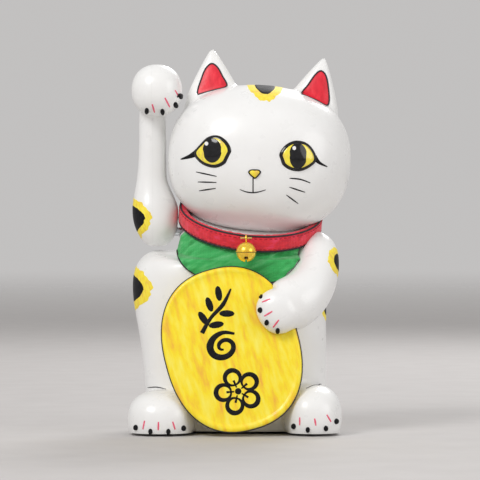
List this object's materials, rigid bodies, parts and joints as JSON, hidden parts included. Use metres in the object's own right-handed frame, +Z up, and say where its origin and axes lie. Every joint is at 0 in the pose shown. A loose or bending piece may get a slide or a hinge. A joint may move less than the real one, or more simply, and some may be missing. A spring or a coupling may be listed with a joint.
{
  "type": "beckoning cat figurine",
  "caption": "Seated white plastic beckoning cat with a waving raised arm, holding an oval gold coin, with red collar, green bib and bell.",
  "frame": {"origin": "under the middle of the footprint, at the level of the rubber feet", "axes": "+Z up, the cat faces -Y, +X is to the right of a person who looks at its face"},
  "size_m": [0.104, 0.0914, 0.18],
  "materials": {
    "white_shell": "glossy white moulded shell",
    "inner_plastic": "white moulded inner plastic",
    "black_plastic": "black moulded plastic",
    "red_plastic": "red plastic",
    "eye_plastic": "domed eye, yellow with a black pupil",
    "gold_plastic": "yellow gold painted plastic",
    "red_cloth": "padded red collar band",
    "green_cloth": "green bib cloth",
    "brass": "polished brass",
    "steel": "bright steel",
    "copper": "enamelled copper winding",
    "board": "green circuit board",
    "cell_wrap": "printed sleeve without marks",
    "rubber": "grey rubber"
  },
  "bodies": {
    "root": {"body_front_shell": "white_shell", "body_rear_shell": "white_shell", "base_plate": "inner_plastic", "head_front_shell": "white_shell", "head_rear_shell": "white_shell", "neck_coupler": "inner_plastic", "eye_left": "eye_plastic", "eye_right": "eye_plastic", "nose": "gold_plastic", "ear_insert_left": "red_plastic", "ear_insert_right": "red_plastic", "holding_arm": "white_shell", "koban_coin": "gold_plastic", "collar": "red_cloth", "bib": "green_cloth", "bell_staple": "brass", "mechanism_frame": "inner_plastic", "shaft_bush_left": "brass", "shaft_bush_right": "brass", "coil_bobbin": "black_plastic", "drive_coil": "copper", "circuit_board": "board", "driver_chip": "black_plastic", "capacitor": "cell_wrap", "wire_red": "red_plastic", "wire_black": "black_plastic", "wire_switch": "red_plastic", "battery_1": "cell_wrap", "battery_2": "cell_wrap", "contact_plate": "steel", "battery_contact_1": "steel", "battery_contact_2": "steel", "switch_body": "black_plastic", "base_screw_1": "steel", "base_screw_2": "steel", "base_screw_3": "steel", "base_screw_4": "steel", "frame_screw_1": "steel", "frame_screw_2": "steel", "rubber_foot_front_left": "rubber", "rubber_foot_front_right": "rubber", "rubber_foot_rear_left": "rubber", "rubber_foot_rear_right": "rubber"},
    "waving_arm": {"arm_outer_shell": "white_shell", "arm_inner_shell": "white_shell", "arm_shaft": "steel", "pendulum_lever": "inner_plastic", "counterweight": "steel", "counterweight_screw": "steel", "pendulum_magnet": "steel"},
    "bell": {"bell_upper_half": "brass", "bell_lower_half": "brass", "bell_pellet": "steel"},
    "battery_door": {"battery_door": "inner_plastic"},
    "switch_knob": {"switch_knob": "red_plastic"}
  },
  "joints": [
    {"name": "arm_wave", "type": "hinge", "parent": "root", "child": "waving_arm", "pos_m": [-0.028, 0, 0.094], "axis": [1, 0, 0], "range_deg": [-12, 25]},
    {"name": "bell_swing", "type": "hinge", "parent": "root", "child": "bell", "pos_m": [0.0027, -0.0378, 0.0912], "axis": [1, 0, 0], "range_deg": [-35, 5]},
    {"name": "battery_door_slide", "type": "slide", "parent": "root", "child": "battery_door", "axis": [0, 1, 0], "range_m": [0, 0.038]},
    {"name": "switch_slide", "type": "slide", "parent": "root", "child": "switch_knob", "axis": [1, 0, 0], "range_m": [0, 0.003]}
  ]
}
